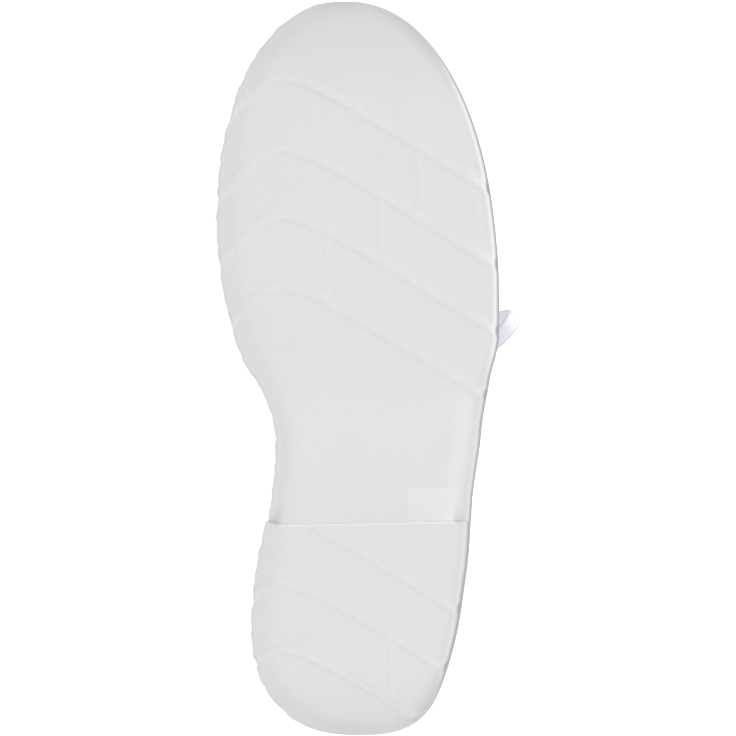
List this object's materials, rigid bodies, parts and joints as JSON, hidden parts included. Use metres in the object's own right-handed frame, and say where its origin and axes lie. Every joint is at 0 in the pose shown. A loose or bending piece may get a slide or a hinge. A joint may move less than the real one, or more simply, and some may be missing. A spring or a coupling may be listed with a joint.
{
  "type": "safety shoe",
  "caption": "White low lace-up safety shoe for the left foot, lying on its inner side with its lugged cup sole facing out.",
  "frame": {"origin": "on the floor under the middle of the shoe's box", "axes": "the shoe lies on its inner side: toe towards -X, tread facing -Y and a little up, outer side up (+Z)"},
  "size_m": [0.29, 0.1176, 0.1091],
  "materials": {
    "outsole": "moulded white polyurethane, satin",
    "insole": "grey felt over foam, matt",
    "upper": "smooth white microfibre, low sheen",
    "tongue": "white padded cloth, matt",
    "eyestay": "smooth white microfibre, low sheen",
    "eyelet_outer_1": "white lacquered ring, satin",
    "eyelet_outer_2": "white lacquered ring, satin",
    "eyelet_outer_3": "white lacquered ring, satin",
    "eyelet_outer_4": "white lacquered ring, satin",
    "eyelet_inner_1": "white lacquered ring, satin",
    "eyelet_inner_2": "white lacquered ring, satin",
    "eyelet_inner_3": "white lacquered ring, satin",
    "eyelet_inner_4": "white lacquered ring, satin",
    "lace_crossings": "flat woven white lace, matt",
    "lace_knot": "flat woven white lace, matt",
    "lace_loop_outer": "flat woven white lace, matt",
    "lace_loop_inner": "flat woven white lace, matt",
    "lace_end_outer": "flat woven white lace, matt",
    "lace_end_inner": "flat woven white lace, matt"
  },
  "bodies": {
    "root": {"outsole": "outsole", "insole": "insole", "upper": "upper", "tongue": "tongue", "eyestay": "eyestay", "eyelet_outer_1": "eyelet_outer_1", "eyelet_outer_2": "eyelet_outer_2", "eyelet_outer_3": "eyelet_outer_3", "eyelet_outer_4": "eyelet_outer_4", "eyelet_inner_1": "eyelet_inner_1", "eyelet_inner_2": "eyelet_inner_2", "eyelet_inner_3": "eyelet_inner_3", "eyelet_inner_4": "eyelet_inner_4", "lace_crossings": "lace_crossings", "lace_knot": "lace_knot", "lace_loop_outer": "lace_loop_outer", "lace_loop_inner": "lace_loop_inner", "lace_end_outer": "lace_end_outer", "lace_end_inner": "lace_end_inner"}
  },
  "joints": []
}
